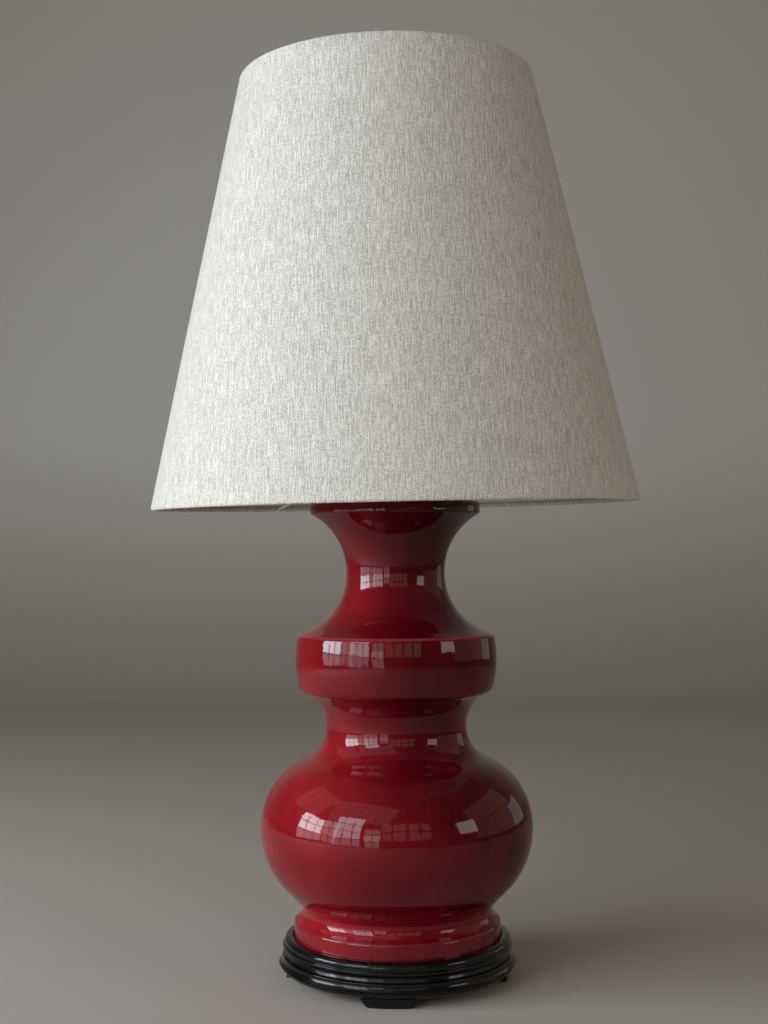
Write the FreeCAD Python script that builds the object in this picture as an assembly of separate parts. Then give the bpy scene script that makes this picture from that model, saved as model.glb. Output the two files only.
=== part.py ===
"""Table lamp: tapered linen shade, glazed ceramic body in tiers, black turned stand on four bracket feet.

Millimetres, +Z up. The origin is on the table, under the middle of the lamp; the front looks along -Y.
Every round piece is an outline of (radius, height, corner radius) turned about the Z axis.
"""
import FreeCAD, Part
import math
import os
from FreeCAD import Placement, Rotation, Vector

# ---------------------------------------------------------------- driving dimensions
# shade
SHADE_BOTTOM_R = 250.5
SHADE_TOP_R = 151.2
SHADE_RIM_Z = 481.0
SHADE_HEIGHT = 442.0
SHADE_LEAN_LEFT = 0.94        # degrees; the shade hangs a little askew on its collar
SHADE_LEAN_FRONT = 0.72
LINEN_T = 0.9
LINER_T = 0.8
LINER_GAP = 0.02              # between linen and liner, so that the two stay separate solids
HEM_R = 2.6                   # the rolled hem is a bead round the wire
HEM_TO_LINER = 0.4
WIRE_R = 1.6
SPIDER_RISE = 50.0            # from the rim up to the collar
SPOKE_COUNT = 3
SPOKE_TURN = 4.0              # degrees from +X to the first spoke
SPOKE_NOTCH = 0.15            # room round a spoke where it passes the hem
COLLAR_R = 29.0
COLLAR_HOLE_R = 21.5
COLLAR_T = 1.5

# ceramic body, from the top down
WALL = 7.0
BODY_BASE_T = 8.0
BODY_TOP_HOLE_R = 20.0
ROD_HOLE_SLACK = 1.5
LIP_R = 87.8
LIP_TOP_Z = 485.0
LIP_BOTTOM_Z = 472.9
NECK_R = 50.9
NECK_TOP_Z = 450.1
NECK_BOTTOM_Z = 367.3
RING_R = 103.9
RING_TOP_R = 101.6
RING_TOP_Z = 348.5
RING_BOTTOM_R = 99.5
RING_BOTTOM_Z = 291.0
WAIST_R = 72.3
WAIST_TOP_Z = 278.4
WAIST_BOTTOM_Z = 231.9
BELLY_R = 139.8
BELLY_TOP_Z = 198.2
BELLY_BOTTOM_Z = 116.2
FOOT_NECK_R = 97.6
FOOT_NECK_TOP_Z = 73.1
FOOT_NECK_BOTTOM_Z = 64.5
FOOT_BAND_R = 105.8
FOOT_STEP_Z = 57.0
BODY_FLOOR_Z = 38.0

# stand
STAND_BOTTOM_Z = 9.0
STAND_TOP_Z = 43.0
STAND_TOP_R = 116.2
RECESS_R = 107.0
RECESS_FLOOR_Z = 36.0
STAND_BEAD_R = 119.4
FEET_TURN = -4.0              # degrees; the stand is turned a little against the view
FOOT_OUTER_R = 114.2
FOOT_INNER_R = 92.0
FOOT_TOP_W = 58.0
FOOT_BOTTOM_W = 45.5
PAD_T = 1.0
PAD_INSET = 1.5
FOOT_SCREW_SIDE = 14.0        # each side of the foot's middle
FOOT_SCREW_AT_R = 102.0
FOOT_SCREW_R = 1.6
FOOT_SCREW_HEAD_R = 3.2
FOOT_SCREW_HEAD_T = 2.2
FOOT_SCREW_LENGTH = 17.0
FELT_R = 90.0
FELT_T = 1.2
GASKET_R = 96.0

# cable outlet in the back of the stand
CABLE_Z = 16.5
CABLE_BORE_R = 3.6
BUSH_R = 4.8
BUSH_FIT = 0.1
BUSH_START_Y = 101.0
SPOT_FACE_Y = 116.4
BUSH_FLANGE_R = 6.6
BUSH_FLANGE_T = 2.2
BUSH_LIP_R = 1.1

# through-rod and its hardware
ROD_R = 5.0
ROD_BORE_R = 3.4
ROD_BOTTOM_Z = 12.0
ROD_TOP_Z = 509.0
POCKET_R = 17.0
POCKET_TOP_Z = 25.0
WASHER_R = 14.0
WASHER_T = 1.6
NUT_ACROSS = 17.0
NUT_T = 7.0
CAP_GASKET_T = 1.0
CAP_R = 33.5
CAP_RISE = 9.0                # from the cap's edge up to the seat of the check nut
CHECK_NUT_R = 9.0

# lampholder
HOLDER_Z = LIP_TOP_Z + 15.0
HOLDER_R = 20.0
HOLDER_JOINT_Z = HOLDER_Z + 28.0
SKIRT_R = 19.75
SKIRT_INNER_R = 17.4
SKIRT_TOP_Z = HOLDER_Z + 62.0
CORE_R = 17.0
CORE_BOTTOM_Z = HOLDER_Z + 24.0
CORE_FLOOR_Z = HOLDER_Z + 31.0
CORE_TOP_Z = HOLDER_Z + 56.0
TERMINAL_X = 9.0
SHELL_R = 13.95
SHELL_TURNS = 5
THREAD_PITCH = 3.62
RING_INNER_GAP = 0.25
CLAMP_RING_R = 28.0
CLAMP_RING_GRIPS = 36
GRIP_R = 0.7
CLAMP_GAP = 0.7               # from a clamping ring to the collar
LOWER_RING_T = 4.3
UPPER_RING_T = 6.8
SWITCH_R = 2.8
SWITCH_Z = HOLDER_Z + 18.5
SWITCH_TRAVEL = 6.0
BUTTON_R = 4.4
BUTTON_T = 4.2
BUTTON_GAP = 0.3

# bulb
BULB_CONTACT_Z = HOLDER_Z + 34.0
BULB_R = 30.0
BULB_LENGTH = 108.0
BULB_NECK_R = 14.4
BULB_NECK_Z = BULB_CONTACT_Z + 27.0
BULB_WALL = 0.8
BULB_CAP_TURNS = 4
BULB_CAP_R = 12.9
BULB_CAP_ROOT_R = 12.2
FILAMENTS = 4
FILAMENT_R = 0.9
FILAMENT_LENGTH = 34.0

Z_AXIS = Vector(0, 0, 1)
X_AXIS = Vector(1, 0, 0)
BACK = Vector(0, 1, 0)
ORIGIN = Vector(0, 0, 0)
BEYOND = 130.0                # a length that clears the stand
OVERCUT = 1.0                 # how far a cutter runs past a face
SAME_POINT = 1e-6


# ---------------------------------------------------------------- helpers
def rounded_wire(corners):
    """Closed wire in the XZ plane through (x, z, fillet radius) corners, with tangent arcs at the corners."""
    points = [Vector(c[0], 0, c[1]) for c in corners]
    edges = []
    first_start = None
    previous_end = None
    count = len(points)
    for i, corner in enumerate(points):
        before = (points[i - 1] - corner).normalize()
        after = (points[(i + 1) % count] - corner).normalize()
        radius = corners[i][2]
        if radius > 0:
            half = math.acos(max(-1.0, min(1.0, before.dot(after)))) / 2
            reach = radius / math.tan(half)
            start = corner + before * reach
            end = corner + after * reach
            bisector = (before + after).normalize()
            middle = corner + bisector * (radius / math.sin(half) - radius)
        else:
            start = end = corner
        if previous_end is not None and previous_end.distanceToPoint(start) > SAME_POINT:
            edges.append(Part.LineSegment(previous_end, start).toShape())
        if radius > 0:
            edges.append(Part.Arc(start, middle, end).toShape())
        if first_start is None:
            first_start = start
        previous_end = end
    if previous_end.distanceToPoint(first_start) > SAME_POINT:
        edges.append(Part.LineSegment(previous_end, first_start).toShape())
    return Part.Wire(edges)


def turned(corners):
    """Solid of revolution about Z of a rounded outline."""
    return Part.Face(rounded_wire(corners)).revolve(ORIGIN, Z_AXIS, 360)


def upright(radius, low, high, x=0.0, y=0.0):
    """Upright cylinder between two heights."""
    return Part.makeCylinder(radius, high - low, Vector(x, y, low))


def ring(inner, outer, low, high):
    """Plain washer, or a disc where inner is 0."""
    body = upright(outer, low, high)
    if inner > 0:
        body = body.cut(upright(inner, low - OVERCUT, high + OVERCUT))
    return body


def rod_between(start, end, radius):
    """Round bar from one point to another."""
    direction = end - start
    return Part.makeCylinder(radius, direction.Length, start, direction)


def polar(radius, angle, z):
    """Point at a radius and an angle in degrees from +X, at a height."""
    a = math.radians(angle)
    return Vector(radius * math.cos(a), radius * math.sin(a), z)


def prism(points, way):
    """Straight prism: a flat closed polygon pushed along a way."""
    return Part.Face(Part.makePolygon(points + points[:1])).extrude(way)


def hex_prism(across_flats, low, high):
    """Hexagonal nut blank."""
    corner = across_flats / math.sqrt(3)
    points = [polar(corner, 60 * i, low) for i in range(6)]
    return prism(points, Vector(0, 0, high - low))


def save(shape, name):
    """Writes one node, and says so if a solid isn't sound."""
    if not shape.isValid():
        print("NOT VALID", name)
    print(f"{name:20s} solids {len(shape.Solids)}  volume {shape.Volume / 1000:9.2f} cm3")
    shape.exportStep(f"parts/{name}.step")


# ---------------------------------------------------------------- ceramic body
def ceramic_outline():
    """Outer face of the pot, from the lip down to the foot."""
    return [
        (LIP_R, LIP_TOP_Z, 3.0),
        (LIP_R, LIP_BOTTOM_Z, 2.2),
        (NECK_R, NECK_TOP_Z, 68.0),
        (NECK_R, NECK_BOTTOM_Z, 63.5),
        (RING_TOP_R, RING_TOP_Z, 5.0),
        (RING_R, RING_TOP_Z - 17.5, 115.0),
        (RING_R - 0.4, RING_BOTTOM_Z + 21.0, 100.0),
        (RING_BOTTOM_R, RING_BOTTOM_Z, 9.0),
        (WAIST_R, WAIST_TOP_Z, 37.5),
        (WAIST_R, WAIST_BOTTOM_Z, 35.0),
        (BELLY_R, BELLY_TOP_Z, 75.0),
        (BELLY_R, BELLY_BOTTOM_Z, 85.0),
        (FOOT_NECK_R, FOOT_NECK_TOP_Z, 3.0),
        (FOOT_NECK_R, FOOT_NECK_BOTTOM_Z, 14.0),
        (FOOT_BAND_R, FOOT_STEP_Z, 3.5),
        (FOOT_BAND_R, BODY_FLOOR_Z, 1.5),
    ]


def ceramic_cavity():
    """Inner face, about one wall thickness in, from the foot up to the shoulder slab."""
    floor = BODY_FLOOR_Z + BODY_BASE_T
    slab = LIP_TOP_Z - BODY_BASE_T
    return [
        (FOOT_NECK_R - WALL, floor, 6.0),
        (FOOT_NECK_R - WALL, FOOT_NECK_TOP_Z + 2.9, 8.0),
        (BELLY_R - WALL, BELLY_BOTTOM_Z + 2.8, 77.0),
        (BELLY_R - WALL, BELLY_TOP_Z - 4.4, 68.0),
        (WAIST_R - WALL, WAIST_BOTTOM_Z - 4.3, 41.0),
        (WAIST_R - WALL, WAIST_TOP_Z + 4.5, 44.0),
        (RING_BOTTOM_R - 4.5, RING_BOTTOM_Z + 6.0, 4.0),
        (RING_TOP_R - 6.3, RING_TOP_Z - 5.5, 4.0),
        (NECK_R - WALL, NECK_BOTTOM_Z - 4.9, 69.0),
        (NECK_R - WALL, NECK_TOP_Z + 3.9, 74.0),
        (80.0, slab, 3.0),
    ]


def ceramic_body():
    outer = turned([(0, LIP_TOP_Z, 0)] + ceramic_outline() + [(0, BODY_FLOOR_Z, 0)])
    cavity = ceramic_cavity()
    floor = cavity[0][1]
    slab = cavity[-1][1]
    inner = turned([(0, floor, 0)] + cavity + [(0, slab, 0)])
    top_hole = upright(BODY_TOP_HOLE_R, slab - OVERCUT, LIP_TOP_Z + OVERCUT)
    rod_hole = upright(ROD_R + ROD_HOLE_SLACK, BODY_FLOOR_Z - OVERCUT, floor + OVERCUT)
    return outer.cut(inner).cut(top_hole).cut(rod_hole)


# ---------------------------------------------------------------- stand
def stand_body():
    """Turned ring moulding: shoulder roll, thin bead, cove, block with a bead at its foot."""
    blank = turned([
        (0, RECESS_FLOOR_Z, 0),
        (RECESS_R, RECESS_FLOOR_Z, 0.5),
        (RECESS_R, STAND_TOP_Z, 0.8),
        (STAND_TOP_R, STAND_TOP_Z, 5.6),
        (115.4, 34.9, 0.5),
        (117.8, 34.6, 1.1),
        (117.4, 31.8, 0.9),
        (112.6, 29.6, 2.6),
        (114.2, 24.6, 1.2),
        (118.0, 24.2, 0.9),
        (117.6, 18.6, 8.0),
        (STAND_BEAD_R, 17.4, 1.4),
        (STAND_BEAD_R, 12.6, 2.6),
        (114.8, STAND_BOTTOM_Z, 2.0),
        (0, STAND_BOTTOM_Z, 0),
    ])
    pocket = upright(POCKET_R, STAND_BOTTOM_Z - OVERCUT, POCKET_TOP_Z)
    rod_hole = upright(ROD_R + 0.4, POCKET_TOP_Z - OVERCUT, RECESS_FLOOR_Z + OVERCUT)
    middle = Vector(0, POCKET_R / 2, CABLE_Z)
    cable_way = Part.makeCylinder(BUSH_R, BEYOND, middle, BACK)
    spot_face = Part.makeCylinder(BUSH_FLANGE_R + 0.2, BEYOND, Vector(0, SPOT_FACE_Y, CABLE_Z), BACK)
    return blank.cut(pocket).cut(rod_hole).cut(cable_way).cut(spot_face)


def foot_blank():
    """One bracket foot at the front: a slice of a ring, narrower at the floor than under the stand."""
    slab = ring(FOOT_INNER_R, FOOT_OUTER_R, PAD_T, STAND_BOTTOM_Z)
    half_top = FOOT_TOP_W / 2
    half_bottom = FOOT_BOTTOM_W / 2
    front = [
        Vector(-half_bottom, -BEYOND, PAD_T),
        Vector(half_bottom, -BEYOND, PAD_T),
        Vector(half_top, -BEYOND, STAND_BOTTOM_Z),
        Vector(-half_top, -BEYOND, STAND_BOTTOM_Z),
    ]
    return slab.common(prism(front, Vector(0, BEYOND, 0)))


def pad_blank():
    """Felt pad, a little smaller than the foot's lower face."""
    slab = ring(FOOT_INNER_R + PAD_INSET, FOOT_OUTER_R - PAD_INSET, 0, PAD_T)
    width = FOOT_BOTTOM_W - 2 * PAD_INSET
    block = Part.makeBox(width, BEYOND, PAD_T, Vector(-width / 2, -BEYOND, 0))
    return slab.common(block)


def foot_screw_blanks():
    """Two countersunk wood screws, up through the foot into the stand."""
    screws = []
    for side in (-FOOT_SCREW_SIDE, FOOT_SCREW_SIDE):
        at = Vector(side, -FOOT_SCREW_AT_R, PAD_T)
        head = Part.makeCone(FOOT_SCREW_HEAD_R, FOOT_SCREW_R, FOOT_SCREW_HEAD_T, at)
        shank = Part.makeCylinder(FOOT_SCREW_R, FOOT_SCREW_LENGTH, at)
        screws.append(head.fuse(shank).removeSplitter())
    return screws


def cable_bush():
    """Rubber bush with a flange and a rounded lip on the outside."""
    flange_end = SPOT_FACE_Y + BUSH_FLANGE_T
    barrel_length = SPOT_FACE_Y - BUSH_START_Y
    barrel = Part.makeCylinder(BUSH_R - BUSH_FIT, barrel_length, Vector(0, BUSH_START_Y, CABLE_Z), BACK)
    flange = Part.makeCylinder(BUSH_FLANGE_R, BUSH_FLANGE_T, Vector(0, SPOT_FACE_Y, CABLE_Z), BACK)
    lip = Part.makeTorus(BUSH_R, BUSH_LIP_R, Vector(0, flange_end, CABLE_Z), BACK)
    bore = Part.makeCylinder(CABLE_BORE_R, BEYOND, Vector(0, BUSH_START_Y - OVERCUT, CABLE_Z), BACK)
    return barrel.fuse([flange, lip]).removeSplitter().cut(bore)


# ---------------------------------------------------------------- rod and caps
def rod_nut():
    top = POCKET_TOP_Z - WASHER_T
    low = top - NUT_T
    return hex_prism(NUT_ACROSS, low, top).cut(upright(ROD_R, low - OVERCUT, top + OVERCUT))


def vase_cap():
    """Spun brass cap: a rolled edge, a low dome and a flat seat for the check nut."""
    base = LIP_TOP_Z + CAP_GASKET_T
    seat = base + CAP_RISE
    return turned([
        (ROD_R + 0.3, seat, 0),
        (ROD_R + 0.3, seat - 1.2, 0),
        (12.0, seat - 1.2, 3.0),
        (20.0, base + 3.4, 8.0),
        (30.0, base, 0.4),
        (CAP_R, base, 0.9),
        (CAP_R, base + 2.6, 1.2),
        (30.5, base + 2.2, 2.0),
        (21.0, base + 5.4, 9.0),
        (12.5, seat, 2.5),
    ])


# ---------------------------------------------------------------- lampholder
def holder_cap():
    """Lower casing: threaded boss, dome and wall, with a cross hole for the switch bar."""
    z = HOLDER_Z
    inner_r = HOLDER_R - 2.4
    boss_r = 8.5
    casing = turned([
        (ROD_R, z, 0),
        (boss_r, z, 0.8),
        (boss_r, z + 6.5, 1.5),
        (15.0, z + 8.5, 4.0),
        (HOLDER_R, z + 12.5, 2.5),
        (HOLDER_R, HOLDER_JOINT_Z, 0.5),
        (inner_r, HOLDER_JOINT_Z, 0),
        (inner_r, z + 14.0, 3.0),
        (11.0, z + 9.8, 2.0),
        (ROD_R, z + 9.8, 0),
    ])
    reach = 2 * HOLDER_R
    return casing.cut(rod_between(Vector(-reach, 0, SWITCH_Z), Vector(reach, 0, SWITCH_Z), SWITCH_R + 0.3))


def holder_skirt():
    """Upper casing: a plain sleeve in place of the threaded skirt that the clamping rings run on."""
    low = HOLDER_JOINT_Z + 0.1
    lip_t = 3.0
    lip_inner_r = 15.6
    return turned([
        (SKIRT_INNER_R, low, 0),
        (SKIRT_R, low, 0.3),
        (SKIRT_R, SKIRT_TOP_Z, 0.8),
        (lip_inner_r, SKIRT_TOP_Z, 0.6),
        (lip_inner_r, SKIRT_TOP_Z - lip_t, 0),
        (SKIRT_INNER_R, SKIRT_TOP_Z - lip_t, 0),
    ])


def holder_core():
    """Insulating insert: a floor that carries the contacts and a cup round the screw shell."""
    cup_inner_r = SHELL_R + 0.15
    cup = turned([
        (0, CORE_BOTTOM_Z, 0),
        (CORE_R, CORE_BOTTOM_Z, 0.6),
        (CORE_R, CORE_TOP_Z, 0.6),
        (cup_inner_r, CORE_TOP_Z, 0),
        (cup_inner_r, CORE_FLOOR_Z, 0.5),
        (0, CORE_FLOOR_Z, 0),
    ])
    for x in (-TERMINAL_X, TERMINAL_X):
        cup = cup.cut(upright(1.6, CORE_BOTTOM_Z - OVERCUT, CORE_FLOOR_Z - 0.5, x))
    return cup


def screw_shell():
    """Rolled brass shell: shallow threads, as stacked rings."""
    low = CORE_FLOOR_Z + 0.5
    top = low + THREAD_PITCH * (SHELL_TURNS + 0.4)
    crest = SHELL_R
    root = SHELL_R - 0.35
    inside = 0.35
    corners = [(crest, low, 0)]
    for i in range(SHELL_TURNS):
        corners.append((crest, low + THREAD_PITCH * (i + 0.45), 0.5))
        corners.append((root, low + THREAD_PITCH * (i + 0.95), 0.5))
    corners += [(crest, top, 0), (crest - inside - 0.05, top, 0)]
    for i in reversed(range(SHELL_TURNS)):
        corners.append((root - inside, low + THREAD_PITCH * (i + 0.95), 0.5))
        corners.append((crest - inside, low + THREAD_PITCH * (i + 0.45), 0.5))
    corners.append((crest - inside, low, 0))
    return turned(corners)


def centre_contact():
    """Sprung brass tongue under the bulb's contact: a flat strip bent back over itself."""
    width = 5.0
    z = CORE_FLOOR_Z
    side = [
        Vector(-TERMINAL_X, -width / 2, z),
        Vector(5.0, -width / 2, z),
        Vector(5.0, -width / 2, z + 0.5),
        Vector(-6.5, -width / 2, z + 0.5),
        Vector(4.0, -width / 2, z + 2.3),
        Vector(4.0, -width / 2, z + 2.8),
        Vector(-TERMINAL_X, -width / 2, z + 0.6),
    ]
    return prism(side, Vector(0, width, 0))


def terminal_screws():
    """Two cheese-head screws up into the floor of the core."""
    head_r = 2.9
    head_t = 1.7
    slot_w = 0.8
    slot_depth = 0.7
    head_z = CORE_BOTTOM_Z - head_t
    screws = []
    for x in (-TERMINAL_X, TERMINAL_X):
        shank = upright(1.55, CORE_BOTTOM_Z, CORE_BOTTOM_Z + 5.5, x)
        head = upright(head_r, head_z, CORE_BOTTOM_Z, x)
        slot = Part.makeBox(3 * head_r, slot_w, slot_depth, Vector(x - 1.5 * head_r, -slot_w / 2, head_z))
        screws.append(shank.fuse(head).cut(slot))
    return Part.makeCompound(screws)


def switch_bar():
    """Push-through bar with a button on each end; it rests pushed to the left."""
    edge_r = 1.2
    right = HOLDER_R + BUTTON_GAP
    left = -(right + SWITCH_TRAVEL)
    bar = rod_between(Vector(left - 1, 0, SWITCH_Z), Vector(right + 1, 0, SWITCH_Z), SWITCH_R)
    right_button = Part.makeCylinder(BUTTON_R, BUTTON_T, Vector(right, 0, SWITCH_Z), X_AXIS)
    left_button = Part.makeCylinder(BUTTON_R, BUTTON_T, Vector(left - BUTTON_T, 0, SWITCH_Z), X_AXIS)
    right_button = right_button.makeFillet(edge_r, [right_button.Edges[0]])
    left_button = left_button.makeFillet(edge_r, [left_button.Edges[2]])
    return bar.fuse([right_button, left_button]).removeSplitter()


def shade_ring(low, high):
    """Knurled clamping ring on the skirt."""
    bore = SKIRT_R + RING_INNER_GAP
    body = turned([
        (bore, low, 0),
        (CLAMP_RING_R, low, 0.6),
        (CLAMP_RING_R, high, 0.9),
        (bore, high, 0),
    ])
    for i in range(CLAMP_RING_GRIPS):
        at = polar(CLAMP_RING_R, 360 / CLAMP_RING_GRIPS * i, low)
        body = body.cut(upright(GRIP_R, low - OVERCUT, high + OVERCUT, at.x, at.y))
    return body


# ---------------------------------------------------------------- bulb
def bulb_outline(gap):
    """Pear-shaped envelope, drawn one gap inside its outer face."""
    top = BULB_CONTACT_Z + BULB_LENGTH - gap
    side = BULB_R - gap
    return [
        (BULB_NECK_R - gap, BULB_NECK_Z, 0),
        (BULB_NECK_R - gap, BULB_NECK_Z + 11.0, 16.0 + gap),
        (side, BULB_NECK_Z + 32.0, 20.0),
        (side, top, side - 0.2),
        (0, top, 0),
    ]


def bulb_glass():
    below = BULB_NECK_Z - OVERCUT
    outer = turned([(0, BULB_NECK_Z, 0)] + bulb_outline(0.0))
    inner = turned([(0, below, 0), (BULB_NECK_R - BULB_WALL, below, 0)] + bulb_outline(BULB_WALL))
    return outer.cut(inner)


def bulb_cap():
    """Threaded cap with its flared collar round the glass; the bulb's driver sits in it."""
    z = BULB_CONTACT_Z
    thread_start = z + 8.0
    collar = BULB_NECK_Z - 0.1
    corners = [(0, z + 4.0, 0), (9.0, z + 4.0, 0), (BULB_CAP_ROOT_R, z + 6.2, 0.8)]
    for i in range(BULB_CAP_TURNS):
        corners.append((BULB_CAP_R, thread_start + THREAD_PITCH * i, 0.6))
        corners.append((BULB_CAP_ROOT_R, thread_start + THREAD_PITCH * (i + 0.5), 0.6))
    corners += [(BULB_CAP_R, collar - 2.9, 0.6), (BULB_NECK_R - 0.1, collar, 0), (0, collar, 0)]
    driver_space = upright(BULB_CAP_ROOT_R - 1.0, z + 7.0, collar + OVERCUT)
    return turned(corners).cut(driver_space)


def bulb_insulator():
    z = BULB_CONTACT_Z
    return turned([(0, z + 1.0, 0), (5.0, z + 1.0, 0.4), (9.0, z + 4.0, 0), (0, z + 4.0, 0)])


def bulb_contact():
    z = BULB_CONTACT_Z
    return turned([(0, z, 0), (3.4, z, 0.6), (4.6, z + 1.0, 0), (0, z + 1.0, 0)])


def bulb_stem():
    z = BULB_NECK_Z
    top = z + 34.0
    return turned([
        (0, z, 0),
        (8.0, z, 0),
        (6.0, z + 12.0, 6.0),
        (2.6, z + 22.0, 4.0),
        (2.6, top, 1.5),
        (0, top, 0),
    ])


def bulb_filaments():
    """Straight light rods round the stem, spread like the ribs of a fan."""
    low_z = BULB_NECK_Z + 19.0
    rods = []
    for i in range(FILAMENTS):
        angle = 360 / FILAMENTS * (i + 0.5)
        low = polar(6.0, angle, low_z)
        high = polar(11.0, angle, low_z + FILAMENT_LENGTH)
        rods.append(rod_between(low, high, FILAMENT_R))
    return Part.makeCompound(rods)


# ---------------------------------------------------------------- shade
WALL_SLOPE = math.atan2(SHADE_BOTTOM_R - SHADE_TOP_R, SHADE_HEIGHT)
WALL_LENGTH = math.hypot(SHADE_BOTTOM_R - SHADE_TOP_R, SHADE_HEIGHT)
COLLAR_Z = SHADE_RIM_Z + SPIDER_RISE


def wall_point(along, depth):
    """Point of the shade's section: along the outer wall from the rim, and in from its face."""
    r = SHADE_BOTTOM_R - along * math.sin(WALL_SLOPE) - depth * math.cos(WALL_SLOPE)
    z = SHADE_RIM_Z + along * math.cos(WALL_SLOPE) - depth * math.sin(WALL_SLOPE)
    return Vector(r, 0, z)


def wall_strip(start, end, outer_depth, inner_depth):
    """Cone shell between two distances along the wall and two depths."""
    points = [
        wall_point(start, outer_depth),
        wall_point(end, outer_depth),
        wall_point(end, inner_depth),
        wall_point(start, inner_depth),
    ]
    return Part.Face(Part.makePolygon(points + points[:1])).revolve(ORIGIN, Z_AXIS, 360)


def wire_ring(along, radius):
    at = wall_point(along, HEM_R)
    return Part.makeTorus(at.x, radius, Vector(0, 0, at.z))


def shade_upright():
    """The shade's pieces before it leans, as a dict of node name to solid."""
    top_hem = WALL_LENGTH - HEM_R
    low_wire = wire_ring(HEM_R, WIRE_R)
    top_wire = wire_ring(top_hem, WIRE_R)
    linen = wall_strip(HEM_R, top_hem, 0.0, LINEN_T)
    linen = linen.fuse([wire_ring(HEM_R, HEM_R), wire_ring(top_hem, HEM_R)]).removeSplitter()
    linen = linen.cut(low_wire).cut(top_wire)
    liner_start = 2 * HEM_R + HEM_TO_LINER
    liner_depth = LINEN_T + LINER_GAP
    liner = wall_strip(liner_start, WALL_LENGTH - liner_start, liner_depth, liner_depth + LINER_T)
    collar = ring(COLLAR_HOLE_R, COLLAR_R, COLLAR_Z, COLLAR_Z + COLLAR_T)
    under_collar = ring(0, COLLAR_R, COLLAR_Z - 5.0, COLLAR_Z + 7.0)
    pieces = {"shade_wire_bottom": low_wire, "shade_wire_top": top_wire, "shade_collar": collar}
    wire_at = wall_point(HEM_R, HEM_R)
    for i in range(SPOKE_COUNT):
        angle = SPOKE_TURN + 360 / SPOKE_COUNT * i
        start = polar(wire_at.x - 0.5, angle, wire_at.z)
        end = polar(COLLAR_R - 2.5, angle, COLLAR_Z + COLLAR_T / 2)
        linen = linen.cut(rod_between(start, end, WIRE_R + SPOKE_NOTCH))
        pieces[f"shade_spoke_{i + 1}"] = rod_between(start, end, WIRE_R).cut(low_wire).cut(under_collar)
    pieces["shade_linen"] = linen
    pieces["shade_liner"] = liner
    return pieces


def lean(shape):
    """Leans a shade piece about the centre of its lower rim."""
    pivot = Vector(0, 0, SHADE_RIM_Z)
    turn = Rotation(BACK, -SHADE_LEAN_LEFT).multiply(Rotation(X_AXIS, SHADE_LEAN_FRONT))
    moved = shape.copy()
    moved.Placement = Placement(ORIGIN, turn, pivot).multiply(moved.Placement)
    return moved


# ---------------------------------------------------------------- everything
def save_stand():
    """The stand with its four feet, their pads and screws, the felt and the bush."""
    foot = foot_blank()
    pad = pad_blank()
    screws = foot_screw_blanks()
    for screw in screws:
        foot = foot.cut(screw)
    stand = stand_body()
    all_screws = []
    for i, name in enumerate(("front", "right", "back", "left")):
        turn = 90 * i + FEET_TURN
        for node, blank in ((f"foot_{name}", foot), (f"pad_{name}", pad)):
            piece = blank.copy()
            piece.rotate(ORIGIN, Z_AXIS, turn)
            save(piece, node)
        for screw in screws:
            placed = screw.copy()
            placed.rotate(ORIGIN, Z_AXIS, turn)
            all_screws.append(placed)
            stand = stand.cut(placed)
    save(Part.makeCompound(all_screws), "foot_screws")
    save(stand, "stand_body")
    save(ring(0, FELT_R, STAND_BOTTOM_Z - FELT_T, STAND_BOTTOM_Z), "underside_felt")
    save(cable_bush(), "cable_bush")


def save_body_and_rod():
    save(ceramic_body(), "ceramic_body")
    save(ring(ROD_R + ROD_HOLE_SLACK, GASKET_R, RECESS_FLOOR_Z, BODY_FLOOR_Z), "body_gasket")
    save(ring(ROD_BORE_R, ROD_R, ROD_BOTTOM_Z, ROD_TOP_Z), "lamp_rod")
    save(ring(ROD_R + 0.3, WASHER_R, POCKET_TOP_Z - WASHER_T, POCKET_TOP_Z), "rod_washer")
    save(rod_nut(), "rod_nut")
    save(ring(BODY_TOP_HOLE_R, CAP_R - 0.5, LIP_TOP_Z, LIP_TOP_Z + CAP_GASKET_T), "cap_gasket")
    save(vase_cap(), "vase_cap")
    save(ring(ROD_R, CHECK_NUT_R, LIP_TOP_Z + CAP_GASKET_T + CAP_RISE, HOLDER_Z), "cap_nut")


def save_holder():
    save(holder_cap(), "holder_cap")
    save(holder_skirt(), "holder_skirt")
    save(holder_core(), "holder_core")
    save(screw_shell(), "screw_shell")
    save(centre_contact(), "centre_contact")
    save(terminal_screws(), "terminal_screws")
    save(switch_bar(), "switch_bar")
    lower_top = COLLAR_Z - CLAMP_GAP
    upper_bottom = COLLAR_Z + COLLAR_T + CLAMP_GAP
    save(shade_ring(lower_top - LOWER_RING_T, lower_top), "shade_ring_lower")
    save(shade_ring(upper_bottom, upper_bottom + UPPER_RING_T), "shade_ring_upper")


def save_bulb():
    save(bulb_glass(), "bulb_glass")
    save(bulb_cap(), "bulb_cap")
    save(bulb_insulator(), "bulb_insulator")
    save(bulb_contact(), "bulb_contact")
    save(bulb_stem(), "bulb_stem")
    save(bulb_filaments(), "bulb_filaments")


def save_shade():
    for name, shape in shade_upright().items():
        save(lean(shape), name)


os.makedirs("parts", exist_ok=True)
save_stand()
save_body_and_rod()
save_holder()
save_bulb()
save_shade()
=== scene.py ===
"""Looks of the table lamp: linen shade, oxblood glazed pot, black turned stand.

Metres, +Z up, the front along -Y. Round pieces are outlines of (radius, height, corner radius)
turned about Z.
"""

import math

import bpy
import numpy as np
from mathutils import Matrix, Vector


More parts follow.
